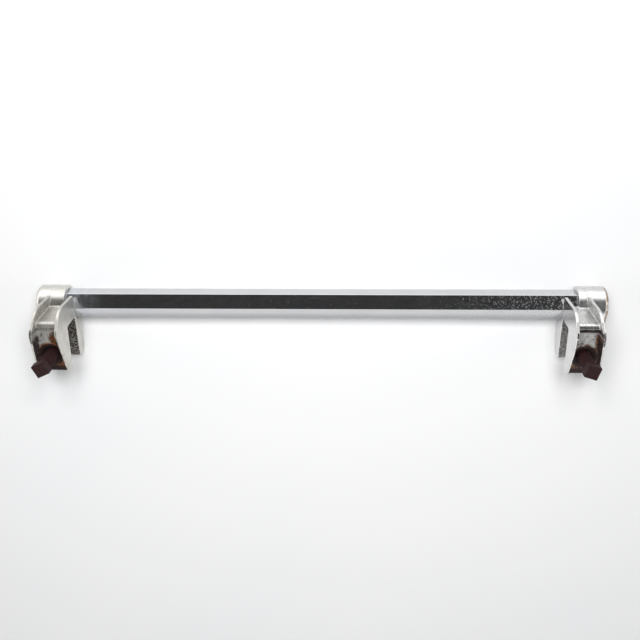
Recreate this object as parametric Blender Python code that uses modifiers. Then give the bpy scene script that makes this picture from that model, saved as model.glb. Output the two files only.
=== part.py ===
"""Panic exit bar: a chromed hexagonal crossbar between two forked lever arms.

The bar is drawn in a working frame (X along the bar, -Y to the front, +Z up, legs of the arms pointing
down, origin on the bar's axis). The empty "bench" then tips the whole assembly onto its back, as it lies
on a table. Side outlines are given as (front, up) distances from the bar's axis. Lengths are metres.
"""

import math

import bmesh
import bpy
from mathutils import Matrix, Vector

INCH = 0.0254
GAP = 0.0003  # left between pieces that touch
OVERLAP = 0.004  # how far a cutter or a joined piece reaches past the face that it meets

# Crossbar and its sockets
BAR_FLATS = 1.0 * INCH
BAR_CORNER = 0.0013
BAR_WALL = 0.0016
SOCKET_RADIUS = 0.018
SOCKET_MOUTH_X = 0.2500
SOCKET_END_X = 0.2787
SOCKET_FLOOR = 0.0040
SOCKET_EDGE = 0.0040
LOBE_AT = (0.0040, -0.0170)
LOBE_RADIUS = 0.0090

# Lever arm
ARM_SHIFT = -0.0027  # both castings sit this far along the bar from true mirror images about their sockets
ARM_INNER_X = 0.2386
ARM_OUTER_X = 0.2650
ARM_FLARE = 0.10  # the outer face leans out this much for each unit further down
FLANGE = 0.0029
CHANNEL_DRAFT = 0.025  # each side of the channel opens this much for each unit further down
LEG_BOTTOM = -0.0524
SLOT_FRONT = 0.0388
SLOT_REAR = 0.0143
SLOT_CEILING = -0.0093
REAR_LEG_BACK = -0.0010
REAR_LEG_HEEL = 0.0040

# Square-head set screw, 1/2-13 by 1 1/4 in
SCREW_RADIUS = 0.25 * INCH
SCREW_LENGTH = 1.25 * INCH
SCREW_HEAD = 0.5 * INCH
SCREW_HEAD_LENGTH = 0.375 * INCH
SCREW_X = 0.2525
SCREW_UP = -0.0322
HEAD_FACE = {"left": 0.0865, "right": 0.0850}
RECESS_RADIUS = 0.0090
RECESS_FLOOR = 0.0500
HEAD_TURN = {"left": math.radians(25), "right": math.radians(-18)}

# Spring pin and end plug that hold the bar in each socket
PIN_RADIUS = 3 / 32 * INCH
PIN_WALL = 0.0010
PIN_SLIT = 0.0009
PIN_LENGTH = 0.5 * INCH
PIN_TOP = 0.0168
PIN_X = 0.2650
PIN_ANGLE = math.radians(150)  # about the bar's axis, from the front over the top
PLUG_FLATS = BAR_FLATS - 2 * BAR_WALL - 2 * GAP
PLUG_START_X = 0.2480
PLUG_END_X = 0.2737
BAR_END_X = SOCKET_END_X - SOCKET_FLOOR - GAP

REST_SHIFT = 0.02481  # brings the middle of the assembly's depth to the origin

COLOURS = {
    "chrome": ((0.72, 0.73, 0.75), 0.14, 1.0),
    "plated_casting": ((0.62, 0.61, 0.58), 0.34, 1.0),
    "rusted_steel": ((0.075, 0.035, 0.032), 0.75, 0.25),
    "plain_steel": ((0.42, 0.42, 0.43), 0.40, 1.0),
}


def clear_scene():
    for obj in list(bpy.data.objects):
        bpy.data.objects.remove(obj, do_unlink=True)


def new_collection(name):
    group = bpy.data.collections.new(name)
    bpy.context.scene.collection.children.link(group)
    return group


def material(name):
    found = bpy.data.materials.get(name)
    if found:
        return found
    colour, roughness, metallic = COLOURS[name]
    made = bpy.data.materials.new(name)
    made.use_nodes = True
    shader = made.node_tree.nodes["Principled BSDF"]
    shader.inputs["Base Color"].default_value = (*colour, 1.0)
    shader.inputs["Roughness"].default_value = roughness
    shader.inputs["Metallic"].default_value = metallic
    return made


def rest_angle():
    """How far the upright assembly tips back until sockets and rear legs both touch the table."""
    back, down = -(REAR_LEG_BACK + REAR_LEG_HEEL), -(LEG_BOTTOM + REAR_LEG_HEEL)
    reach = math.hypot(back, down)
    lean = math.atan2(down, back) - math.acos((SOCKET_RADIUS - REAR_LEG_HEEL) / reach)
    return lean - math.pi / 2


def add_node(name, mesh, finish):
    """A visible sub-part, riding on the bench."""
    obj = bpy.data.objects.new(name, mesh)
    parts.objects.link(obj)
    obj.parent = bench
    mesh.materials.append(material(finish))
    mesh.shade_smooth()
    mesh.set_sharp_from_angle(angle=math.radians(35))
    return obj


def add_cutter(name, mesh):
    obj = bpy.data.objects.new(name, mesh)
    cutters.objects.link(obj)
    obj.parent = bench
    obj.hide_render = True
    obj.display_type = "WIRE"
    return obj


def combine(target, operation, tool):
    modifier = target.modifiers.new(operation.lower() + "_" + tool.name, "BOOLEAN")
    modifier.operation = operation
    modifier.object = tool
    modifier.solver = "EXACT"


def rounded_outline(corners):
    """Points of a closed outline: each corner is (front, up, radius, steps of its arc)."""
    points = []
    for i, (front, up, radius, steps) in enumerate(corners):
        here = Vector((front, up))
        before = (Vector(corners[i - 1][:2]) - here).normalized()
        after = (Vector(corners[(i + 1) % len(corners)][:2]) - here).normalized()
        if radius == 0:
            points.append(here)
            continue
        half = before.angle(after) / 2
        centre = here + (before + after).normalized() * radius / math.sin(half)
        start = here + before * radius / math.tan(half) - centre
        turn = start.angle_signed(here + after * radius / math.tan(half) - centre)
        for step in range(steps + 1):
            points.append(centre + Matrix.Rotation(-turn * step / steps, 2) @ start)
    return points


def plate(name, outline, low_x, high_x):
    """A flat outline in (front, up), extruded along the bar from low_x to high_x."""
    curve = bpy.data.curves.new(name, "CURVE")
    curve.dimensions = "2D"
    curve.fill_mode = "BOTH"
    curve.extrude = abs(high_x - low_x) / 2
    spline = curve.splines.new("POLY")
    spline.points.add(len(outline) - 1)
    for point, place in zip(spline.points, outline):
        point.co = (*place, 0, 1)
    spline.use_cyclic_u = True
    guide = bpy.data.objects.new(name, curve)
    bpy.context.scene.collection.objects.link(guide)
    bpy.context.view_layer.update()
    graph = bpy.context.evaluated_depsgraph_get()
    mesh = bpy.data.meshes.new_from_object(guide.evaluated_get(graph))
    bpy.data.objects.remove(guide, do_unlink=True)
    bpy.data.curves.remove(curve)
    # (front, up, depth) of the drawing becomes (-Y, Z, -X) of the working frame
    mesh.transform(Matrix(((0, 0, -1, (low_x + high_x) / 2), (-1, 0, 0, 0), (0, 1, 0, 0), (0, 0, 0, 1))))
    tidy(mesh)
    mesh.name = name
    return mesh


def tidy(mesh):
    shape = bmesh.new()
    shape.from_mesh(mesh)
    bmesh.ops.remove_doubles(shape, verts=shape.verts, dist=0.00001)
    bmesh.ops.recalc_face_normals(shape, faces=shape.faces)
    shape.to_mesh(mesh)
    shape.free()


def lean_and_shift(mesh, side, draft=0.0):
    """Leans everything outside the arm's inner face outwards, more the further down it is, then shifts it all.

    The draft also moves the mesh's two sides apart by this much for each unit further down.
    """
    for vertex in mesh.vertices:
        share = (abs(vertex.co.x) - ARM_INNER_X) / (ARM_OUTER_X - ARM_INNER_X)
        lean = ARM_FLARE * share + math.copysign(draft, share - 0.5)
        vertex.co.x += ARM_SHIFT - side * lean * vertex.co.z


def screw_axis(side, front):
    """The point of a set screw's axis at this distance to the front."""
    return Vector((side * SCREW_X + ARM_SHIFT, -front, SCREW_UP))


def rod(name, radius, start, end, sides):
    """A cylinder between two points of the working frame."""
    start, end = Vector(start), Vector(end)
    shape = bmesh.new()
    bmesh.ops.create_cone(
        shape, cap_ends=True, segments=sides, radius1=radius, radius2=radius, depth=(end - start).length
    )
    mesh = bpy.data.meshes.new(name)
    shape.to_mesh(mesh)
    shape.free()
    turn = (end - start).to_track_quat("Z", "Y").to_matrix().to_4x4()
    mesh.transform(Matrix.Translation((start + end) / 2) @ turn)
    return mesh


def hexagon(name, flats, low_x, high_x, corner):
    """A hexagonal prism along the bar with a flat on top, its long edges rounded."""
    shape = bmesh.new()
    radius = flats / math.sqrt(3)
    bmesh.ops.create_cone(
        shape, cap_ends=True, segments=6, radius1=radius, radius2=radius, depth=high_x - low_x
    )
    if corner:
        long_edges = [e for e in shape.edges if abs(e.verts[0].co.z - e.verts[1].co.z) > 0.001]
        # the cut starts this far from the edge for an arc of the wanted radius between faces at 120 degrees
        offset = corner * math.tan(math.radians(30))
        bmesh.ops.bevel(
            shape, geom=long_edges, offset=offset, offset_type="OFFSET", segments=3, profile=0.5, affect="EDGES"
        )
    mesh = bpy.data.meshes.new(name)
    shape.to_mesh(mesh)
    shape.free()
    mesh.transform(Matrix.Translation(((low_x + high_x) / 2, 0, 0)) @ Matrix.Rotation(math.pi / 2, 4, "Y"))
    return mesh


def around_bar(radius, angle, x):
    """A point at this distance from the bar's axis, at an angle from the front over the top."""
    return Vector((x, -radius * math.cos(angle), radius * math.sin(angle)))


def make_crossbar():
    bar = add_node("crossbar", hexagon("crossbar", BAR_FLATS, -BAR_END_X, BAR_END_X, BAR_CORNER), "chrome")
    past_end = BAR_END_X + OVERLAP
    bore = hexagon("bore", BAR_FLATS - 2 * BAR_WALL, -past_end, past_end, BAR_CORNER / 3)
    combine(bar, "DIFFERENCE", add_cutter("bore", bore))
    return bar


def arm_outline():
    """The whole side of the arm: horn by the bar, nose, clamp wall, slot and rear leg."""
    return rounded_outline(
        [
            (0.0138, 0.0131, 0.0012, 3),
            (0.0540, 0.0152, 0.0200, 6),
            (0.0697, -0.0040, 0.0070, 6),
            (0.0503, LEG_BOTTOM, 0.0045, 4),
            (SLOT_FRONT, LEG_BOTTOM, 0.0010, 2),
            (SLOT_FRONT, SLOT_CEILING, 0.0015, 3),
            (SLOT_REAR, SLOT_CEILING, 0.0030, 4),
            (SLOT_REAR - 0.0015, LEG_BOTTOM, 0.0015, 2),
            (REAR_LEG_BACK, LEG_BOTTOM, REAR_LEG_HEEL, 5),
            (REAR_LEG_BACK, -0.0090, 0, 1),
            (0.0080, -0.0040, 0, 1),
            (0.0118, 0.0045, 0, 1),
        ]
    )


def channel_outline():
    """The space in front of the web: it leaves the web's top, its lip and the clamp wall's face."""
    return rounded_outline(
        [
            (0.0050, 0.0031, 0, 1),
            (0.0600, 0.0035, 0.0042, 5),
            (0.0571, -0.0042, 0, 1),
            (0.0556, -0.0043, 0.0006, 2),
            (0.0530, SCREW_UP, 0.0100, 3),
            (0.0455, LEG_BOTTOM - 0.0010, 0, 1),
            (0.0480, LEG_BOTTOM - 0.0100, 0, 1),
            (0.0900, LEG_BOTTOM - 0.0100, 0, 1),
            (0.0900, 0.0300, 0, 1),
            (0.0050, 0.0300, 0, 1),
        ]
    )


def hub_outline():
    """A circle about the bar and a smaller one on the rear leg, wrapped by their common tangents."""
    distance = math.hypot(*LOBE_AT)
    heading = math.atan2(LOBE_AT[1], LOBE_AT[0])
    spread = math.acos((SOCKET_RADIUS - LOBE_RADIUS) / distance)
    points = []
    for centre, radius, start, end, steps in (
        ((0, 0), SOCKET_RADIUS, heading + spread, heading - spread + 2 * math.pi, 44),
        (LOBE_AT, LOBE_RADIUS, heading - spread, heading + spread, 14),
    ):
        for step in range(steps + 1):
            angle = start + (end - start) * step / steps
            points.append((centre[0] + radius * math.cos(angle), centre[1] + radius * math.sin(angle)))
    return points


def make_hub(side):
    mesh = plate("hub", hub_outline(), side * SOCKET_MOUTH_X, side * SOCKET_END_X)
    shape = bmesh.new()
    shape.from_mesh(mesh)
    for x, size, steps in ((SOCKET_END_X, SOCKET_EDGE, 4), (SOCKET_MOUTH_X, 0.0006, 1)):
        at_end = [e for e in shape.edges if all(abs(abs(v.co.x) - x) < 0.00001 for v in e.verts)]
        rim = [e for e in at_end if e.calc_face_angle(0) > 1]
        bmesh.ops.bevel(
            shape, geom=rim, offset=size, offset_type="OFFSET", segments=steps, profile=0.5, affect="EDGES"
        )
    shape.to_mesh(mesh)
    shape.free()
    return mesh


def make_arm(label, side):
    body = plate("arm_" + label, arm_outline(), side * ARM_INNER_X, side * ARM_OUTER_X)
    lean_and_shift(body, side)
    arm = add_node("arm_" + label, body, "plated_casting")
    channel = plate("channel", channel_outline(), side * (ARM_INNER_X + FLANGE), side * (ARM_OUTER_X - FLANGE))
    lean_and_shift(channel, side, CHANNEL_DRAFT)
    combine(arm, "DIFFERENCE", add_cutter("channel_" + label, channel))
    combine(arm, "UNION", add_cutter("hub_" + label, make_hub(side)))
    low, high = sorted((side * (ARM_INNER_X - 2 * OVERLAP), side * (SOCKET_END_X - SOCKET_FLOOR)))
    socket = hexagon("socket", BAR_FLATS + 2 * GAP, low, high, BAR_CORNER)
    combine(arm, "DIFFERENCE", add_cutter("socket_" + label, socket))
    outside = screw_axis(side, HEAD_FACE[label] + OVERLAP)
    thread = rod("thread", SCREW_RADIUS + GAP, screw_axis(side, SLOT_FRONT - OVERLAP), outside, 32)
    combine(arm, "DIFFERENCE", add_cutter("thread_" + label, thread))
    recess = rod("recess", RECESS_RADIUS, screw_axis(side, RECESS_FLOOR), outside, 32)
    combine(arm, "DIFFERENCE", add_cutter("recess_" + label, recess))
    combine(arm, "DIFFERENCE", add_cutter("arm_pin_hole_" + label, pin_hole(side)))
    return arm


def pin_hole(side):
    floor = PIN_TOP - PIN_LENGTH - GAP
    start = around_bar(floor, PIN_ANGLE, side * PIN_X)
    end = around_bar(SOCKET_RADIUS + OVERLAP, PIN_ANGLE, side * PIN_X)
    return rod("pin_hole", PIN_RADIUS + GAP, start, end, 24)


def make_spring_pin(label, side):
    """A rolled pin: a ring of spring steel with a slit along it."""
    half_slit = PIN_SLIT / 2 / PIN_RADIUS
    steps = 20
    sweep = [half_slit + (2 * math.pi - 2 * half_slit) * i / steps for i in range(steps + 1)]
    outer = [(PIN_RADIUS * math.cos(a), PIN_RADIUS * math.sin(a)) for a in sweep]
    bore = PIN_RADIUS - PIN_WALL
    inner = [(bore * math.cos(a), bore * math.sin(a)) for a in reversed(sweep)]
    mesh = plate("spring_pin_" + label, outer + inner, -PIN_LENGTH / 2, PIN_LENGTH / 2)
    pin = add_node("spring_pin_" + label, mesh, "plain_steel")
    pin.location = around_bar(PIN_TOP - PIN_LENGTH / 2, PIN_ANGLE, side * PIN_X)
    pin.rotation_mode = "QUATERNION"
    pin.rotation_quaternion = around_bar(1, PIN_ANGLE, 0).to_track_quat("X", "Z")
    return pin


def make_end_plug(label, side):
    low, high = sorted((side * PLUG_START_X, side * PLUG_END_X))
    shape = hexagon("end_plug_" + label, PLUG_FLATS, low, high, BAR_CORNER / 3)
    plug = add_node("end_plug_" + label, shape, "plain_steel")
    combine(plug, "DIFFERENCE", add_cutter("plug_pin_hole_" + label, pin_hole(side)))
    return plug


def make_set_screw(label, side):
    """A turned shank with a cup point, and a square head with rounded edges."""
    under_head = SCREW_HEAD_LENGTH
    tip = under_head + SCREW_LENGTH
    profile = [
        (0.0, under_head - OVERLAP),
        (SCREW_RADIUS * 0.90, under_head - OVERLAP),
        (SCREW_RADIUS * 0.90, under_head + 0.0020),
        (SCREW_RADIUS, under_head + 0.0028),
        (SCREW_RADIUS, tip - 0.0018),
        (SCREW_RADIUS * 0.72, tip),
        (SCREW_RADIUS * 0.56, tip),
        (0.0, tip - 0.0018),
    ]
    # measured from the head's face inwards, so the outer side runs down from the head to the tip
    mesh = bpy.data.meshes.new("set_screw_" + label)
    points = [(radius, 0, -depth) for radius, depth in profile]
    mesh.from_pydata(points, [(i, i + 1) for i in range(len(points) - 1)], [])
    screw = add_node("set_screw_" + label, mesh, "rusted_steel")
    turned = screw.modifiers.new("turned", "SCREW")
    turned.axis = "Z"
    turned.angle = 2 * math.pi
    turned.steps = 32
    turned.render_steps = 32
    turned.use_merge_vertices = True
    turned.merge_threshold = 0.0001
    turned.use_smooth_shade = True
    head = bmesh.new()
    bmesh.ops.create_cube(head, size=1.0)
    bmesh.ops.scale(head, vec=(SCREW_HEAD, SCREW_HEAD, SCREW_HEAD_LENGTH), verts=head.verts)
    bmesh.ops.bevel(
        head, geom=list(head.edges), offset=0.0008, offset_type="OFFSET", segments=2, profile=0.5, affect="EDGES"
    )
    bmesh.ops.translate(head, vec=(0, 0, -SCREW_HEAD_LENGTH / 2), verts=head.verts)
    head_mesh = bpy.data.meshes.new("head")
    head.to_mesh(head_mesh)
    head.free()
    square = add_cutter("head_" + label, head_mesh)
    for obj in (screw, square):
        obj.location = screw_axis(side, HEAD_FACE[label])
        obj.rotation_euler = (math.pi / 2, 0, 0)
        obj.rotation_euler.rotate_axis("Z", HEAD_TURN[label])
    combine(screw, "UNION", square)
    return screw


clear_scene()
parts = new_collection("panic_exit_bar")
cutters = new_collection("cutters")
bench = bpy.data.objects.new("bench", None)
parts.objects.link(bench)
bench.location = (0, REST_SHIFT, SOCKET_RADIUS)
bench.rotation_euler = (rest_angle(), 0, 0)

crossbar = make_crossbar()
for label, side in (("left", -1), ("right", 1)):
    make_arm(label, side)
    make_end_plug(label, side)
    make_spring_pin(label, side)
    make_set_screw(label, side)
    bar_hole = add_cutter("bar_pin_hole_" + label, pin_hole(side))
    combine(crossbar, "DIFFERENCE", bar_hole)
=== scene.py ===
"""Looks of the panic exit bar, around its CAD frame.

Pieces are drawn in the working frame of part.py: X along the bar, -Y to the front, +Z up, legs of the
arms pointing down, origin on the bar's axis. BENCH tips that frame onto its back, as the object lies on
the table. Places across the bar are given as (front, up). Lengths are metres.
"""
import math

import bpy
import numpy as np
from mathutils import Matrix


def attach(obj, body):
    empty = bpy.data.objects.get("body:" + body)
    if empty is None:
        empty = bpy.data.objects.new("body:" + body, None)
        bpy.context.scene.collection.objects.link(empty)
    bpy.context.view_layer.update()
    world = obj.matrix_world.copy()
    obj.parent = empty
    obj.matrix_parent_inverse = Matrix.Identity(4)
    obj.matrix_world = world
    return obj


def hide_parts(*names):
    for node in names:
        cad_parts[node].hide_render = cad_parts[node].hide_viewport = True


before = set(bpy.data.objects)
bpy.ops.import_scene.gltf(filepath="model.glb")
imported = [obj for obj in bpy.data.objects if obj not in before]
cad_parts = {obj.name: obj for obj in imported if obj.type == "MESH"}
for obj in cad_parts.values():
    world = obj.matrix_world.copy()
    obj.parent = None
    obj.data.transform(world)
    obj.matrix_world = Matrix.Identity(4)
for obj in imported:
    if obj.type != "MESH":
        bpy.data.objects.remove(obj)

import openvdb
from mathutils import Matrix, Vector

INCH = 0.0254
MM = 0.001
GAP = 0.3 * MM  # between pieces that touch

# The CAD model's dimensions: bar and sockets
BAR_FLATS = 1.0 * INCH
BAR_CORNER = 1.3 * MM
BAR_WALL = 1.6 * MM
SOCKET_RADIUS = 18 * MM
SOCKET_MOUTH_X = 250 * MM
SOCKET_END_X = 278.7 * MM
SOCKET_FLOOR = 4 * MM
SOCKET_EDGE = 4 * MM
BAR_END_X = SOCKET_END_X - SOCKET_FLOOR - GAP
LOBE_AT = (4 * MM, -17 * MM)
LOBE_RADIUS = 9 * MM

# Lever arms
ARM_SHIFT = -2.7 * MM  # both castings sit this far along the bar from true mirror images
ARM_INNER_X = 238.6 * MM
ARM_WIDTH = 26.4 * MM
ARM_FLARE = 0.10  # the outer face leans out this much for each unit further down
FLANGE = 2.9 * MM
CHANNEL_DRAFT = 0.025  # each side of the channel opens this much for each unit further down
LEG_BOTTOM = -52.4 * MM
SLOT_FRONT = 38.8 * MM
SLOT_REAR = 14.3 * MM
SLOT_CEILING = -9.3 * MM
SLOT_WIDENING = 1.5 * MM  # the slot is this much wider at the legs' ends
REAR_LEG_BACK = -1.0 * MM
REAR_LEG_HEEL = 4.0 * MM

# Set screws, 1/2-13 by 1 1/4 in, and the spring pins' holes
SCREW_RADIUS = 0.25 * INCH
SCREW_LENGTH = 1.25 * INCH
SCREW_HEAD = 0.5 * INCH
SCREW_HEAD_LENGTH = 0.375 * INCH
SCREW_X = 252.5 * MM
SCREW_UP = -32.2 * MM
HEAD_FACE = {"left": 86.5 * MM, "right": 85.0 * MM}
HEAD_TURN = {"left": math.radians(25), "right": math.radians(-18)}
RECESS_RADIUS = 9 * MM
RECESS_FLOOR = 50 * MM
PIN_RADIUS = 3 / 32 * INCH
PIN_LENGTH = 0.5 * INCH
PIN_TOP = 16.8 * MM
PIN_FLOOR = PIN_TOP - PIN_LENGTH - GAP
PIN_X = 265 * MM
PIN_ANGLE = math.radians(150)  # about the bar's axis, from the front over the top

# How the assembly lies on the table
REST_SHIFT = 24.81 * MM
REST_ANGLE = math.radians(-69.673)
BENCH = Matrix.Translation((0, REST_SHIFT, SOCKET_RADIUS)) @ Matrix.Rotation(REST_ANGLE, 4, "X")
SIDES = (("left", -1), ("right", 1))

# Details that only the looks have
BAR_CROWN = 0.02 * MM  # how far the middle of each flat stands out
SCREW_PITCH = INCH / 13
THREAD_DEPTH = 1.15 * MM
POINT_LENGTH = 1.7 * MM
CUP_SHARE = 0.56  # radius of the cup's mouth, as a share of the screw's
NECK_LENGTH = 2.2 * MM  # plain shank between head and thread
WEAR = 0.05 * MM  # taken off the screws all over

# Meshes: grid spacing, and the box that holds a casting, as (distance out along the bar), y and z
ARM_PITCH = 0.45 * MM
SCREW_MESH_PITCH = 0.24 * MM
ARM_BOX_OUT = (0.2340, 0.2815)
ARM_BOX_Y = (-0.0715, 0.0190)
ARM_BOX_Z = (-0.0536, 0.0190)

# Camera, in the working frame
CAMERA_AT = Vector((28.0, -762.8, 315.3)) * MM
CAMERA_TILT = math.radians(23.58)
CAMERA_TURN = math.radians(2.08)
CAMERA_ROLL = math.radians(-0.60)
CAMERA_LENS = 46.9

# Table and lights
PAPER_SIZE = 3.0
PAPER_LEVEL = -0.0003  # just under the object
OPENING_NEAR = -57  # degrees from straight up, on the -Y side
OPENING_FAR = 34  # degrees from straight up, on the +Y side
OPENING_SIDES = (0.45, 0.60)  # sine of the sideways angle where the opening's edge starts and ends
OPENING_EDGE = 0.05  # half the softness of its near and far edges, in radians
OPENING_LIGHT = 0.042
SOFTBOX_SIZE = (0.32, 0.50)
SOFTBOX_AT = (0.22, 0.29, 1.10)
SOFTBOX_WATTS = 6.1


# ---------------------------------------------------------------- distance fields


def rounded_max(a, b, radius):
    """Where both solids are, with their common convex edges rounded."""
    corner = np.hypot(np.maximum(a + radius, 0), np.maximum(b + radius, 0))
    return np.minimum(np.maximum(a, b), -radius) + corner


def rounded_min(a, b, radius):
    """Both solids joined, with a fillet where they meet."""
    return -rounded_max(-a, -b, radius)


def outline_distance(front, up, outline):
    """Distance from a closed outline in (front, up), negative inside it."""
    nearest = np.full(np.broadcast(front, up).shape, np.inf)
    inside = np.zeros(nearest.shape, bool)
    for a, b in zip(outline, outline[1:] + outline[:1]):
        along, rise = b[0] - a[0], b[1] - a[1]
        share = ((front - a[0]) * along + (up - a[1]) * rise) / (along**2 + rise**2)
        share = np.clip(share, 0, 1)
        nearest = np.minimum(nearest, (front - a[0] - share * along) ** 2 + (up - a[1] - share * rise) ** 2)
        if rise:
            inside ^= ((a[1] > up) != (b[1] > up)) & (front < a[0] + (up - a[1]) * along / rise)
    return np.sqrt(nearest) * np.where(inside, -1, 1)


def rounded_outline(corners, steps=7):
    """Points of a closed outline from corners given as (front, up, radius) in millimetres."""
    points = []
    places = [Vector(corner[:2]) * MM for corner in corners]
    for i, (_, _, radius) in enumerate(corners):
        here = places[i]
        if radius == 0:
            points.append(tuple(here))
            continue
        before = (places[i - 1] - here).normalized()
        after = (places[(i + 1) % len(places)] - here).normalized()
        half = before.angle(after) / 2
        centre = here + (before + after).normalized() * radius * MM / math.sin(half)
        start = here + before * radius * MM / math.tan(half) - centre
        turn = start.angle_signed(here + after * radius * MM / math.tan(half) - centre)
        for step in range(steps + 1):
            points.append(tuple(centre + Matrix.Rotation(-turn * step / steps, 2) @ start))
    return points


ARM_OUTLINE = rounded_outline(
    [
        (13.8, 13.1, 1.2),
        (54.0, 15.2, 20),
        (69.7, -4.0, 7),
        (50.3, LEG_BOTTOM / MM, 4.5),
        (SLOT_FRONT / MM, LEG_BOTTOM / MM, 1),
        (SLOT_FRONT / MM, SLOT_CEILING / MM, 1.5),
        (SLOT_REAR / MM, SLOT_CEILING / MM, 3),
        ((SLOT_REAR - SLOT_WIDENING) / MM, LEG_BOTTOM / MM, 1.5),
        (REAR_LEG_BACK / MM, LEG_BOTTOM / MM, REAR_LEG_HEEL / MM),
        (REAR_LEG_BACK / MM, -9, 0),
        (8, -4, 0),
        (11.8, 4.5, 0),
    ]
)
CHANNEL_OUTLINE = rounded_outline(
    [
        (5, 3.1, 0),
        (60.0, 3.5, 4.2),
        (57.1, -4.2, 0),
        (55.6, -4.3, 0.6),
        (53.0, SCREW_UP / MM, 10),
        (45.5, LEG_BOTTOM / MM - 1, 0),
        (48.0, LEG_BOTTOM / MM - 10, 0),
        (90, LEG_BOTTOM / MM - 10, 0),
        (90, 30, 0),
        (5, 30, 0),
    ]
)


def hub_distance(front, up):
    """Distance from a circle about the bar and a smaller one on the rear leg, wrapped by their tangents."""
    length = math.hypot(*LOBE_AT)
    along = (front * LOBE_AT[0] + up * LOBE_AT[1]) / length
    across = np.abs(front * LOBE_AT[1] - up * LOBE_AT[0]) / length
    slope = (SOCKET_RADIUS - LOBE_RADIUS) / length
    reach = math.sqrt(1 - slope**2)
    ahead = along * reach - across * slope
    sleeve = across * reach + along * slope - SOCKET_RADIUS
    return np.where(
        ahead < 0,
        np.hypot(along, across) - SOCKET_RADIUS,
        np.where(ahead > length * reach, np.hypot(along - length, across) - LOBE_RADIUS, sleeve),
    )


def arm_depth(side, x, up):
    """How far across the arm's plates a point is: 0 on the inner face, ARM_WIDTH on the outer one."""
    return (side * (x - ARM_SHIFT) - ARM_INNER_X) / (1 - ARM_FLARE * up / ARM_WIDTH)


def flange_thickness(up):
    """In the measure of arm_depth; the channel's draft thins the flanges downwards."""
    return FLANGE + CHANNEL_DRAFT * up / (1 - ARM_FLARE * up / ARM_WIDTH)


def channel_distance(side, x, front, up):
    depth = arm_depth(side, x, up)
    flange = flange_thickness(up)
    slab = np.maximum(flange - depth, depth - (ARM_WIDTH - flange))
    return rounded_max(outline_distance(front, up, CHANNEL_OUTLINE), slab, 1.3 * MM)


def from_screw(side, x, up):
    """Distance from the set screw's axis."""
    return np.hypot(x - side * SCREW_X - ARM_SHIFT, up - SCREW_UP)


def recess_distance(side, x, front, up):
    """The spot face under the screw's head."""
    return rounded_max(from_screw(side, x, up) - RECESS_RADIUS, RECESS_FLOOR - front, 0.8 * MM)


def socket_distance(out, front, up):
    """The blind hexagonal hole for the bar."""
    tilt = math.sqrt(0.75)
    hexagon = np.maximum(np.abs(up), np.abs(up) / 2 + np.abs(front) * tilt) - BAR_FLATS / 2 - GAP
    return np.maximum(hexagon, out - (SOCKET_END_X - SOCKET_FLOOR))


def pin_hole_distance(out, front, up):
    outward = front * math.cos(PIN_ANGLE) + up * math.sin(PIN_ANGLE)
    aside = front * math.sin(PIN_ANGLE) - up * math.cos(PIN_ANGLE)
    return np.maximum(np.hypot(aside, out - PIN_X) - PIN_RADIUS - GAP, PIN_FLOOR - outward)


def arm_distance(side, x, front, up):
    """One lever arm: flanged web, clamp walls, slot, and the socket for the bar."""
    depth = arm_depth(side, x, up)
    slab = np.maximum(-depth, depth - ARM_WIDTH)
    arm = rounded_max(outline_distance(front, up, ARM_OUTLINE), slab, 0.9 * MM)
    arm = rounded_max(arm, -channel_distance(side, x, front, up), 0.9 * MM)
    out = side * x
    hub = rounded_max(hub_distance(front, up), out - SOCKET_END_X, SOCKET_EDGE)
    hub = rounded_max(hub, SOCKET_MOUTH_X - out, 0.6 * MM)
    arm = rounded_min(arm, hub, 1.5 * MM)
    arm = rounded_max(arm, -socket_distance(out, front, up), 0.3 * MM)
    thread = np.maximum(from_screw(side, x, up) - SCREW_RADIUS - GAP, SLOT_FRONT - 4 * MM - front)
    arm = rounded_max(arm, -thread, 0.5 * MM)
    arm = rounded_max(arm, -recess_distance(side, x, front, up), 0.6 * MM)
    return rounded_max(arm, -pin_hole_distance(out, front, up), 0.2 * MM)


def screw_distance(x, y, z):
    """A square-head set screw along -Z, its head's face at z = 0 and a cup point at its tip."""
    round_about = np.hypot(x, y)
    half = SCREW_HEAD / 2
    sides = rounded_max(np.abs(x) - half, np.abs(y) - half, 0.7 * MM)
    head = rounded_max(sides, np.abs(z + SCREW_HEAD_LENGTH / 2) - SCREW_HEAD_LENGTH / 2, 0.8 * MM)
    tip = -SCREW_HEAD_LENGTH - SCREW_LENGTH
    turn = np.mod(z / SCREW_PITCH + np.arctan2(y, x) / (2 * math.pi), 1)
    ridge = np.clip(np.abs(turn - 0.5) * 2.6 - 0.3, 0, 1)
    root = SCREW_RADIUS - THREAD_DEPTH
    shank = (round_about - root - ridge * THREAD_DEPTH) * 0.6
    shank = rounded_max(shank, (round_about - z + tip - SCREW_RADIUS + POINT_LENGTH) * 0.7, 0.1 * MM)
    shank = np.maximum(shank, tip - z)
    shank = rounded_max(shank, (SCREW_RADIUS * CUP_SHARE - round_about + tip - z) * 0.7, 0.1 * MM)
    neck = -SCREW_HEAD_LENGTH - NECK_LENGTH
    plain = np.maximum(round_about - root, np.abs(z - neck) - 3 * MM)
    shank = rounded_min(np.maximum(shank, z - neck), plain, 0.3 * MM)
    return rounded_min(head, shank, 0.6 * MM)


# ---------------------------------------------------------------- meshes


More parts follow.
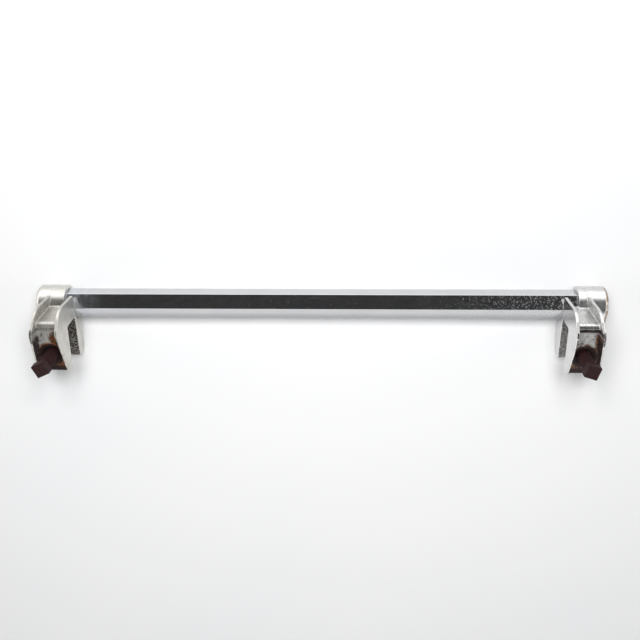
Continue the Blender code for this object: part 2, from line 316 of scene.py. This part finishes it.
def surface_of(distance, low, high, pitch):
    """Points and quads of the surface where distance(x, y, z) is 0, found on a grid from low to high."""
    axes = [np.arange(a, b + pitch, pitch) for a, b in zip(low, high)]
    field = distance(axes[0][:, None, None], axes[1][None, :, None], axes[2][None, None, :])
    band = 3 * pitch
    grid = openvdb.FloatGrid(float(band))
    grid.copyFromArray(np.ascontiguousarray(np.clip(field, -band, band).astype(np.float32)))
    points, quads = grid.convertToQuads(isovalue=0.0)
    points = points.astype(float) * pitch + np.array(low)
    for _ in range(3):
        step, normals = slope_of(distance, points)
        points -= normals * np.clip(step, -pitch, pitch)[:, None]
    return points, quads, normals


def slope_of(distance, points, reach=0.02 * MM):
    """(distance over slope, unit normal) of a field at each point."""
    here = distance(*points.T)
    rise = []
    for step in reach * np.eye(3):
        rise.append((distance(*(points + step).T) - distance(*(points - step).T)) / (2 * reach))
    rise = np.stack(rise, 1)
    steep = np.maximum(np.linalg.norm(rise, axis=1), 0.3)
    return here / steep, rise / steep[:, None]


def noise_at(points, size, seed):
    """Smooth noise from -1 to 1 that changes over about this size."""
    table = np.random.default_rng(seed).uniform(-1, 1, (24, 24, 24))
    cell = np.floor(points / size).astype(int)
    part = points / size - cell
    part = part * part * (3 - 2 * part)
    total = np.zeros(len(points))
    for corner in np.ndindex(2, 2, 2):
        weight = np.prod(np.where(corner, part, 1 - part), axis=1)
        total += weight * table[tuple(((cell + corner) % 24).T)]
    return total


def ease(value, low, high):
    """0 below low, 1 above high and smooth between; high may be the smaller one."""
    share = np.clip((value - low) / (high - low), 0, 1)
    return share * share * (3 - 2 * share)


def piece(name, points, faces, finish, matrix=BENCH, **masks):
    """A smooth mesh object, moved by the matrix, with one number per point under each mask's name."""
    mesh = bpy.data.meshes.new(name)
    mesh.from_pydata(points, [], faces)
    mesh.transform(matrix)
    mesh.validate()
    mesh.shade_smooth()
    for mask, values in masks.items():
        layer = mesh.attributes.new(mask, "FLOAT", "POINT")
        layer.data.foreach_set("value", values.astype(np.float32))
    mesh.materials.append(finish)
    obj = bpy.data.objects.new(name, mesh)
    bpy.context.scene.collection.objects.link(obj)
    return obj


def slot_outline():
    """The gap between the two legs, reaching past their ends."""
    past = LEG_BOTTOM - 5 * MM
    ceiling = [(SLOT_REAR, SLOT_CEILING), (SLOT_FRONT, SLOT_CEILING)]
    return ceiling + [(SLOT_FRONT, past), (SLOT_REAR - SLOT_WIDENING, past)]


def make_arm(label, side, finish):
    def field(x, y, z):
        return arm_distance(side, x, -y, z)

    low, high = zip(sorted(side * out for out in ARM_BOX_OUT), ARM_BOX_Y, ARM_BOX_Z)
    points, quads, normals = surface_of(field, low, high, ARM_PITCH)

    # Where each kind of surface is
    x, front, up = points[:, 0], -points[:, 1], points[:, 2]
    out = side * x
    depth = arm_depth(side, x, up)
    about_screw = from_screw(side, x, up)
    in_channel = ease(np.abs(channel_distance(side, x, front, up)), 0.9 * MM, 0.3 * MM)
    in_slot = ease(np.abs(depth - ARM_WIDTH / 2), ARM_WIDTH / 2 - 0.2 * MM, ARM_WIDTH / 2 - 1 * MM)
    in_slot *= ease(outline_distance(front, up, slot_outline()), 0.5 * MM, 0.1 * MM)
    in_recess = ease(recess_distance(side, x, front, up), 0.9 * MM, 0.2 * MM)
    hub = hub_distance(front, up)
    drum = ease(out, SOCKET_MOUTH_X - 0.8 * MM, SOCKET_MOUTH_X) * ease(hub, 1.5 * MM, 0.5 * MM)
    rim = ease(out, SOCKET_END_X - 3.9 * MM, SOCKET_END_X - 2.2 * MM)
    rim *= ease(hub, -3.2 * MM, -2.2 * MM)
    from_right = ARM_WIDTH - depth if side > 0 else depth
    outer = ease(depth, ARM_WIDTH - FLANGE - 0.5 * MM, ARM_WIDTH - FLANGE) * (1 - in_channel)
    bend = outer * ease(front, 60 * MM, 63 * MM) * ease(np.abs(up + 8 * MM), 9 * MM, 6 * MM)
    ledge = in_channel * ease(np.abs(up + 3.4 * MM), 2.8 * MM, 1.8 * MM)
    ridge = in_channel * ease(np.abs(up - 1.5 * MM), 3.4 * MM, 1.8 * MM)
    cast = np.clip(in_channel + in_slot + in_recess, 0, 1) * (1 - 0.75 * ridge)

    # Relief of the cast and of the polished surfaces, in millimetres
    relief = noise_at(points, 2.2 * MM, 3) * 0.13 + noise_at(points, 1.0 * MM, 4) * 0.08
    pits = ease(noise_at(points, 1.3 * MM, 5 + side), 0.40, 0.75) * 0.30
    sheen = noise_at(points, 9 * MM, 6) * 0.02 + noise_at(points, 4 * MM, 8) * 0.008
    grain = noise_at(points, 1.1 * MM, 9) * 0.018 * drum
    points += normals * (cast * (relief - pits) * MM + (1 - cast) * (sheen + grain) * MM)[:, None]

    # Rust: about the screw, down the right flange's root, at the wall's foot and low in the slot
    root = ease(from_right, FLANGE + (10.5 - 4 * side) * MM, FLANGE + (4 - 3 * side) * MM)
    rust = np.maximum(in_channel, in_recess) * ease(about_screw, 18 * MM, 11 * MM)
    rust = np.maximum(rust, in_channel * ease(up, -3 * MM, -14 * MM) * 0.20)
    rust = np.maximum(rust, in_channel * ease(up, -2 * MM, -9 * MM) * root * 0.95)
    seep = ease(np.abs(channel_distance(side, x, front, up)), 4 * MM, 1 * MM) * root
    rust = np.maximum(rust, seep * ease(up, -8 * MM, -22 * MM) * 0.5)
    rust = np.maximum(rust, in_channel * ease(up, -38 * MM, -44 * MM))
    rust = np.maximum(rust, in_slot * ease(up, -8 * MM, -20 * MM) * 0.35)

    # Black: oxide close about the screw; painted shade inside its thread and down the inner face of the
    # outer flange; black also at the wall's foot, on the ledge and a little below it
    oxide_and_shade = np.maximum(in_channel, in_recess) * ease(about_screw, 14 * MM, 10.2 * MM)
    # Painted shade: the threaded hole is painted black.
    in_thread = ease(about_screw, SCREW_RADIUS + 1.6 * MM, SCREW_RADIUS + 0.8 * MM) * (front > SLOT_FRONT)
    oxide_and_shade = np.maximum(oxide_and_shade, in_thread)
    oxide_and_shade = np.maximum(oxide_and_shade, in_channel * ease(up, -42 * MM, -48 * MM) * 0.8)
    oxide_and_shade = np.maximum(oxide_and_shade, ledge * (0.62 + 0.15 * side))
    oxide_and_shade = np.maximum(oxide_and_shade, in_channel * ease(up, -4 * MM, -8 * MM) * 0.20)
    # Painted shade: the lower part of the outer flange's inner face is painted dark.
    on_outer = in_channel * ease(ARM_WIDTH - FLANGE - depth, 2.5 * MM, 0.2 * MM)
    oxide_and_shade = np.maximum(oxide_and_shade, on_outer * ease(up, -6 * MM, -14 * MM) * 0.75)

    masks = {"cast": cast, "rust": rust, "oxide_and_shade": oxide_and_shade, "slot": in_slot}
    masks.update(drum=drum, rim=rim, bend=bend)
    return piece("casting_" + label, points, quads, finish, **masks)


def make_screw(label, side, finish):
    margin = 0.6 * MM
    half = SCREW_HEAD / 2 + margin
    low = (-half, -half, -SCREW_HEAD_LENGTH - SCREW_LENGTH - margin)
    points, quads, normals = surface_of(screw_distance, low, (half, half, margin), SCREW_MESH_PITCH)
    on_head = ease(points[:, 2], -SCREW_HEAD_LENGTH - 0.5 * MM, -SCREW_HEAD_LENGTH)
    relief = noise_at(points, 2.6 * MM, 21 + side) * 0.10 + noise_at(points, 0.8 * MM, 23 + side) * 0.06
    points += normals * (relief * MM * (0.15 + 0.85 * on_head) - WEAR)[:, None]
    at = Matrix.Translation((side * SCREW_X + ARM_SHIFT, -HEAD_FACE[label], SCREW_UP))
    turn = Matrix.Rotation(math.pi / 2, 4, "X") @ Matrix.Rotation(HEAD_TURN[label], 4, "Z")
    return piece("square_head_screw_" + label, points, quads, finish, BENCH @ at @ turn)


def hexagon_section(flats, corner, crown):
    """(front, up) points round a hexagon with a flat on top, rounded corners and slightly bowed flats."""
    across, arc = 8, 6
    reach = flats / 2
    half = reach / math.sqrt(3) - corner * math.tan(math.pi / 6)
    section = []
    for flat in range(6):
        heading = math.pi / 2 - flat * math.pi / 3
        out = np.array((math.cos(heading), math.sin(heading)))
        aside = np.array((out[1], -out[0]))
        for step in range(across + 1):
            share = 2 * step / across - 1
            section.append(out * (reach - crown * share**2) + aside * half * share)
        bend = out * (reach - corner) + aside * half
        for step in range(1, arc):
            angle = heading - math.pi / 3 * step / arc
            section.append(bend + (corner - crown) * np.array((math.cos(angle), math.sin(angle))))
    return np.array(section)


def make_bar(finish):
    """The hexagonal tube, with the faint waviness of a drawn and polished bar."""
    outer = hexagon_section(BAR_FLATS, BAR_CORNER * 0.8, BAR_CROWN)
    inner = hexagon_section(BAR_FLATS - 2 * BAR_WALL, BAR_CORNER / 3, 0)
    stations = np.linspace(-BAR_END_X, BAR_END_X, 241)
    count = len(outer)
    points, faces = [], []
    for ring, section in enumerate((outer, inner)):
        for x in stations:
            swell = 0.012 * MM * math.sin(x * 41 + 1.3) + 0.008 * MM * math.sin(x * 97)
            place = section * (1 + (ring == 0) * swell / (BAR_FLATS / 2))
            points.extend((x, -front, up) for front, up in place)
    first_inner = len(stations) * count
    for i in range(len(stations) - 1):
        for j in range(count):
            a, b = i * count + j, i * count + (j + 1) % count
            faces.append((a, b, b + count, a + count))
            faces.append(tuple(first_inner + k for k in (a + count, b + count, b, a)))
    last = (len(stations) - 1) * count
    for j in range(count):
        k = (j + 1) % count
        faces.append((j, first_inner + j, first_inner + k, k))
        faces.append((last + k, first_inner + last + k, first_inner + last + j, last + j))
    points = np.array(points)
    # Painted shade: the flats darken and dull towards the bar's lower edge, where they mirror the shadowed
    # paper under the bar.
    heading = np.degrees(np.arctan2(points[:, 2], -points[:, 1]))
    grime = ease(heading, -15, -58) * ease(heading, -75, -60)
    return piece("hexagonal_bar", points, faces, finish, grime=grime)


# ---------------------------------------------------------------- materials

CHROME = (0.65, 0.652, 0.66)
CHROME_DIM = (0.61, 0.615, 0.63)
FLAW_GREY = (0.62, 0.625, 0.64)
HAZE_BLUE = (0.45, 0.56, 0.75)
# Painted shade on the bar's lower flats
UNDERSIDE_SHADE_GREY = (0.14, 0.14, 0.14)
WORN_GREY = (0.22, 0.21, 0.20)
BARE_BRASS = (0.23, 0.145, 0.07)
PIT_BLACK = (0.03, 0.026, 0.024)
DARK_RUST = (0.045, 0.022, 0.013)
# Black oxide about the screws, and painted shade in their threaded holes and on the outer flanges' inner
# faces
OXIDE_AND_SHADE_BLACK = (0.016, 0.008, 0.007)
SLOT_BLACK = (0.022, 0.015, 0.012)
SCUFF_BROWN = (0.070, 0.060, 0.052)
SCALE_DARK = (0.011, 0.0038, 0.0043)
SCALE_RED = (0.031, 0.0105, 0.0108)
RUST_DUST = (0.075, 0.032, 0.028)
STEEL = (0.46, 0.45, 0.44)
STEEL_TARNISHED = (0.30, 0.27, 0.24)
PAPER = (0.90, 0.902, 0.905)
PAPER_COOL = (0.88, 0.885, 0.895)


class Finish:
    """A node material and short ways to add nodes to it."""

    def __init__(self, name, **values):
        self.material = bpy.data.materials.new(name)
        self.material.use_nodes = True
        self.tree = self.material.node_tree
        self.shader = self.tree.nodes["Principled BSDF"]
        for socket, value in values.items():
            self.shader.inputs[self.socket(socket)].default_value = value
        self.places = self.node("ShaderNodeTexCoord").outputs["Object"]

    @staticmethod
    def socket(name):
        return name.replace("_", " ").title().replace("Ior", "IOR")

    def node(self, kind, inputs=(), **settings):
        made = self.tree.nodes.new(kind)
        for key, value in settings.items():
            setattr(made, key, value)
        for key, value in dict(inputs).items():
            if isinstance(value, bpy.types.NodeSocket):
                self.tree.links.new(value, made.inputs[key])
            else:
                made.inputs[key].default_value = value
        return made

    def stretched(self, scale):
        return self.node("ShaderNodeMapping", {"Vector": self.places, "Scale": scale}).outputs[0]

    def noise(self, size, detail=3.0, roughness=0.55, vector=None):
        """Noise whose features are about this big."""
        inputs = {"Vector": vector or self.places, "Scale": 1 / size}
        inputs.update(Detail=detail, Roughness=roughness)
        return self.node("ShaderNodeTexNoise", inputs).outputs["Fac"]

    def cells(self, size):
        """Distance from the nearest of many scattered points about this far apart."""
        inputs = {"Vector": self.places, "Scale": 1 / size}
        return self.node("ShaderNodeTexVoronoi", inputs).outputs["Distance"]

    def mask(self, name):
        return self.node("ShaderNodeAttribute", attribute_name=name).outputs["Fac"]

    def math(self, operation, a, b, clamp=False):
        return self.node("ShaderNodeMath", {0: a, 1: b}, operation=operation, use_clamp=clamp).outputs[0]

    def times(self, a, b):
        return self.math("MULTIPLY", a, b)

    def plus(self, a, b, clamp=False):
        return self.math("ADD", a, b, clamp)

    def minus(self, a, b):
        return self.math("SUBTRACT", a, b)

    def larger(self, a, b):
        return self.math("MAXIMUM", a, b)

    def ragged(self, share, noise, amount):
        """The share with noise about 0.5 added, which makes its edge uneven."""
        return self.plus(share, self.times(self.minus(noise, 0.5), amount))

    def between(self, value, low, high, to_low=0.0, to_high=1.0):
        """Smoothly from to_low at low to to_high at high."""
        inputs = {"Value": value, 1: low, 2: high, 3: to_low, 4: to_high}
        return self.node("ShaderNodeMapRange", inputs, interpolation_type="SMOOTHSTEP").outputs[0]

    def blend(self, share, a, b):
        """Colour a where share is 0 and b where it is 1."""
        made = self.node("ShaderNodeMix", data_type="RGBA")
        for socket, value in ((made.inputs[0], share), (made.inputs[6], a), (made.inputs[7], b)):
            if isinstance(value, bpy.types.NodeSocket):
                self.tree.links.new(value, socket)
            else:
                socket.default_value = (*value, 1)
        return made.outputs[2]

    def bump(self, height, distance, strength):
        inputs = {"Height": height, "Distance": distance, "Strength": strength}
        return self.node("ShaderNodeBump", inputs).outputs[0]

    def set(self, **sockets):
        """Link the shader's inputs and return the finished material."""
        for name, output in sockets.items():
            self.tree.links.new(output, self.shader.inputs[self.socket(name)])
        return self.material


def chrome_bar():
    """Bright chromium with hairline scratches, dust specks and pitting that thickens to the right, and
    painted shade darkening its lower flats.
    """
    f = Finish("bar_chrome", metallic=1.0)
    x = f.node("ShaderNodeSeparateXYZ", {0: f.places}).outputs[0]
    grime = f.mask("grime")
    haze = f.noise(0.030, 4.0)
    streaks = f.between(f.noise(0.006, 3.0, 0.6, f.stretched((1, 0.3, 0.3))), 0.35, 0.60, 0.35, 1.0)
    at_left = f.times(f.between(x, -0.210, -0.238), streaks)
    to_right = f.between(x, 0.00, 0.22)
    patch = f.noise(0.006, 3.0)
    limit = f.times(f.between(patch, 0.36, 0.60, 0.75, 1.0), f.between(x, 0.06, 0.23, 0.09, 0.37))
    pits = f.math("GREATER_THAN", limit, f.cells(0.0017))
    fine_limit = f.times(to_right, f.between(patch, 0.40, 0.60, 0.12, 0.26))
    fine_pits = f.math("GREATER_THAN", fine_limit, f.cells(0.0012))
    pits = f.larger(pits, f.times(fine_pits, 0.6))
    lines = f.noise(0.0009, 2.0, 0.5, f.stretched((0.03, 1, 1)))
    scratches = f.times(f.between(lines, 0.64, 0.70), f.between(f.noise(0.02), 0.45, 0.6))
    flaws = f.larger(pits, f.times(scratches, 0.25))
    colour = f.blend(f.between(haze, 0.3, 0.8), CHROME_DIM, CHROME)
    colour = f.blend(flaws, colour, FLAW_GREY)
    colour = f.blend(f.times(at_left, 0.2), colour, HAZE_BLUE)
    # Painted shade: darker towards the lower edge, for the shadowed paper mirrored there.
    colour = f.blend(f.times(grime, 0.45), colour, UNDERSIDE_SHADE_GREY)
    dust = f.between(f.noise(0.0013, 3.0, 0.6), 0.48, 0.72, 0.0, 0.05)
    metal = f.minus(f.minus(1.0, dust), f.times(flaws, 0.26))
    metal = f.minus(metal, f.times(at_left, 0.08))
    rough = f.between(haze, 0.3, 0.75, 0.05, 0.10)
    rough = f.plus(rough, f.times(flaws, 0.10))
    rough = f.plus(rough, f.times(grime, 0.12))
    rough = f.plus(rough, f.times(at_left, 0.16), clamp=True)
    height = f.minus(f.times(haze, 0.02), f.times(flaws, 0.03))
    return f.set(base_color=colour, metallic=metal, roughness=rough, normal=f.bump(height, 0.0003, 0.4))


def cast_metal(
    name, polished, dull, rust_tone, base_roughness, drum_roughness, grain, pitting, soot, brass
):
    """Plated casting: polished outside, rough and pitted in its channel, rusting about the screw."""
    f = Finish(name)
    cast, rust, oxide_and_shade, slot = f.mask("cast"), f.mask("rust"), f.mask("oxide_and_shade"), f.mask("slot")
    drum, rim, bend = f.mask("drum"), f.mask("rim"), f.mask("bend")
    cloud = f.noise(0.010, 4.0)
    texture = f.noise(0.0011, 3.0, 0.6)
    fine = f.noise(0.0004, 2.0)
    pits = f.math("LESS_THAN", f.cells(0.0022), f.between(f.noise(0.005, 3.0), 0.38, 0.66, 0.06, pitting))
    pits = f.times(pits, f.times(cast, f.between(drum, 0.0, 0.5, 0.85, 0.0)))
    dulled = f.plus(f.between(cloud, 0.3, 0.75, 0.0, 0.4), f.between(drum, 0.0, 1.0, 0.6, 0.0))
    colour = f.blend(dulled, polished, dull)
    worn = f.larger(f.times(cast, grain), f.times(drum, 0.28))
    colour = f.blend(f.times(worn, f.between(texture, 0.46, 0.60)), colour, WORN_GREY)
    bare = f.times(rim, f.between(f.noise(0.006, 3.0), 0.38, 0.56, 0.2 * brass, brass))
    colour = f.blend(bare, colour, BARE_BRASS)
    colour = f.blend(pits, colour, PIT_BLACK)
    stain = f.ragged(rust, f.noise(0.0055, 5.0, 0.62), 1.3)
    stained = f.times(f.between(stain, 0.30, 1.0), f.between(rust, 0.04, 0.40))
    rust_colour = f.blend(f.between(f.noise(0.0040, 4.0), 0.38, 0.64), DARK_RUST, rust_tone)
    colour = f.blend(stained, colour, rust_colour)
    # Black oxide, and painted shade in the threaded hole and down the outer flange's inner face
    oxide_and_shade_cover = f.ragged(oxide_and_shade, f.noise(0.0035, 4.0), 0.7)
    oxide_and_shade_cover = f.times(f.between(oxide_and_shade_cover, 0.15, 0.85), f.between(oxide_and_shade, 0.02, 0.2))
    colour = f.blend(oxide_and_shade_cover, colour, OXIDE_AND_SHADE_BLACK)
    black = f.times(slot, f.between(f.noise(0.0015, 4.0, 0.7), 0.40, 0.52, 0.40 * soot, soot))
    colour = f.blend(black, colour, SLOT_BLACK)
    scuff = f.times(bend, f.between(f.noise(0.0012, 3.0, 0.7), 0.38, 0.52, 0.45, 1.0))
    colour = f.blend(scuff, colour, SCUFF_BROWN)
    covered = f.larger(stained, f.larger(oxide_and_shade_cover, f.times(black, 0.8)))
    covered = f.larger(covered, f.times(scuff, 0.6))
    metal = f.minus(f.between(cast, 0.0, 1.0, 1.0, 0.74), f.times(covered, 0.85))
    rough = f.between(cloud, 0.3, 0.8, base_roughness, base_roughness + 0.08)
    rough = f.plus(rough, f.times(drum, drum_roughness))
    rough = f.plus(rough, f.times(cast, 0.22))
    rough = f.plus(rough, f.times(covered, 0.40), clamp=True)
    height = f.plus(f.times(texture, 0.6), f.times(fine, 0.25))
    coarse = f.larger(f.between(cast, 0.0, 1.0, 0.12, 1.0), f.times(drum, 0.35))
    height = f.times(height, coarse)
    height = f.minus(height, f.times(pits, 0.6))
    return f.set(base_color=colour, roughness=rough, metallic=metal, normal=f.bump(height, 0.0003, 0.8))


def rusted_steel():
    """Dark maroon rust with scale and paler dust in the hollows."""
    f = Finish("screw_rust", metallic=0.0, specular_ior_level=0.25)
    scale = f.noise(0.0022, 5.0, 0.65)
    dust = f.noise(0.0007, 3.0)
    colour = f.blend(f.between(scale, 0.35, 0.65), SCALE_DARK, SCALE_RED)
    colour = f.blend(f.between(dust, 0.58, 0.75, 0.0, 0.5), colour, RUST_DUST)
    height = f.plus(scale, f.times(dust, 0.5))
    rough = f.between(scale, 0.3, 0.7, 0.55, 0.85)
    return f.set(base_color=colour, roughness=rough, normal=f.bump(height, 0.0003, 0.8))


def drawn_steel():
    """Plain steel of the pins and plugs, with lengthwise drawing lines."""
    f = Finish("drawn_steel", metallic=1.0)
    lines = f.noise(0.0008, 3.0, 0.6, f.stretched((0.1, 1, 1)))
    tarnish = f.noise(0.004, 3.0)
    colour = f.blend(f.between(tarnish, 0.4, 0.7), STEEL, STEEL_TARNISHED)
    rough = f.between(lines, 0.3, 0.7, 0.28, 0.5)
    return f.set(base_color=colour, roughness=rough, normal=f.bump(lines, 0.0001, 0.4))


def white_paper():
    """Matt white paper with a little fibre."""
    f = Finish("white_paper", roughness=0.9)
    sheet = f.noise(0.35, 2.0)
    fibre = f.noise(0.002, 3.0)
    colour = f.blend(f.between(sheet, 0.3, 0.7), PAPER_COOL, PAPER)
    return f.set(base_color=colour, normal=f.bump(fibre, 0.0001, 0.15))


# ---------------------------------------------------------------- studio


def make_floor():
    """A plain sheet of white paper."""
    ends = (-PAPER_SIZE / 2, PAPER_SIZE / 2)
    points = [(x, y, PAPER_LEVEL) for y in ends for x in ends]
    floor = piece("paper", points, [(0, 1, 3, 2)], white_paper(), Matrix.Identity(4))


def make_camera():
    """Above the table, looking almost straight down on the object."""
    back = Vector(
        (
            math.sin(CAMERA_TURN) * math.cos(CAMERA_TILT),
            -math.cos(CAMERA_TURN) * math.cos(CAMERA_TILT),
            math.sin(CAMERA_TILT),
        )
    )
    right = (-back).cross(Vector((0, 0, 1))).normalized()
    top = right.cross(-back)
    turn = Matrix((right, top, back)).transposed()
    turn = (turn @ Matrix.Rotation(CAMERA_ROLL, 3, "Z")).to_4x4()
    data = bpy.data.cameras.new("camera")
    data.lens = CAMERA_LENS
    camera = bpy.data.objects.new("camera", data)
    bpy.context.scene.collection.objects.link(camera)
    camera.matrix_world = BENCH @ Matrix.Translation(CAMERA_AT) @ turn
    bpy.context.scene.camera = camera


def make_light_tent():
    """White walls all round and a dark opening overhead, where the camera looks in.

    The walls are brighter in the metal's reflections than in the light that they give matt surfaces. The
    softboxes give most of the table's light.
    """
    world = bpy.data.worlds.new("light_tent")
    bpy.context.scene.world = world
    world.use_nodes = True
    tree = world.node_tree
    ground = tree.nodes["Background"]

    def add(kind, *inputs, **settings):
        made = tree.nodes.new(kind)
        for key, value in settings.items():
            setattr(made, key, value)
        for socket, value in zip(made.inputs, inputs):
            if isinstance(value, bpy.types.NodeSocket):
                tree.links.new(value, socket)
            else:
                socket.default_value = value
        return made.outputs[0]

    way = tree.nodes.new("ShaderNodeTexCoord").outputs["Generated"]
    parts = tree.nodes.new("ShaderNodeSeparateXYZ")
    tree.links.new(way, parts.inputs[0])
    x, y, z = parts.outputs
    tip = add("ShaderNodeMath", y, z, operation="ARCTAN2")
    middle = math.radians((OPENING_FAR + OPENING_NEAR) / 2)
    reach = math.radians((OPENING_FAR - OPENING_NEAR) / 2)
    off = add("ShaderNodeMath", tip, middle, operation="SUBTRACT")
    off = add("ShaderNodeMath", off, operation="ABSOLUTE")
    lengthwise = add("ShaderNodeMapRange", off, reach - OPENING_EDGE, reach + OPENING_EDGE, 1.0, 0.0)
    aside = add("ShaderNodeMath", x, operation="ABSOLUTE")
    crosswise = add("ShaderNodeMapRange", aside, *OPENING_SIDES, 1.0, 0.0)
    opening = add("ShaderNodeMath", lengthwise, crosswise, operation="MULTIPLY")
    on_table = add("ShaderNodeMapRange", y, -0.1, 0.25, 1.0, 0.12)
    in_metal = add("ShaderNodeMapRange", y, -0.2, 0.3, 1.45, 1.75)
    matte = tree.nodes.new("ShaderNodeLightPath").outputs["Is Diffuse Ray"]
    walls = add("ShaderNodeMapRange", matte, 0.0, 1.0, in_metal, on_table)
    bright = add("ShaderNodeMapRange", opening, 0.0, 1.0, walls, OPENING_LIGHT)
    tree.links.new(bright, ground.inputs["Color"])
    ground.inputs["Strength"].default_value = 1.0


def make_softbox(name, side):
    """One of the two panels hung over the ends of the bar, on the far side, kept out of the reflections."""
    data = bpy.data.lights.new(name, "AREA")
    data.shape = "RECTANGLE"
    data.size, data.size_y = SOFTBOX_SIZE
    data.energy = SOFTBOX_WATTS
    light = bpy.data.objects.new(name, data)
    bpy.context.scene.collection.objects.link(light)
    x, y, z = SOFTBOX_AT
    light.location = (side * x, y, z)
    light.visible_glossy = False


# ---------------------------------------------------------------- scene

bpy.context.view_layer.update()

bar = make_bar(chrome_bar())
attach(bar, "bar_and_arms")
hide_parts("crossbar")

castings = {
    "left": cast_metal(
        "satin_nickel_casting",
        polished=(0.72, 0.71, 0.67),
        dull=(0.53, 0.515, 0.475),
        rust_tone=(0.21, 0.080, 0.026),
        base_roughness=0.34,
        drum_roughness=-0.04,
        grain=0.50,
        pitting=0.36,
        soot=1.0,
        brass=0.15,
    ),
    "right": cast_metal(
        "chromed_casting",
        polished=(0.72, 0.72, 0.72),
        dull=(0.62, 0.615, 0.605),
        rust_tone=(0.15, 0.072, 0.036),
        base_roughness=0.16,
        drum_roughness=0.10,
        grain=0.22,
        pitting=0.46,
        soot=0.8,
        brass=0.95,
    ),
}
rust = rusted_steel()
steel = drawn_steel()
for label, side in SIDES:
    arm = make_arm(label, side, castings[label])
    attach(arm, "bar_and_arms")
    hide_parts("arm_" + label)
    screw = make_screw(label, side, rust)
    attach(screw, "screw_" + label)
    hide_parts("set_screw_" + label)
    for part in ("spring_pin_", "end_plug_"):
        node = bpy.data.objects[part + label]
        node.material_slots[0].material = steel

make_floor()
make_camera()
make_light_tent()
for label, side in SIDES:
    make_softbox("softbox_" + label, side)
bpy.context.scene.view_settings.view_transform = "Standard"
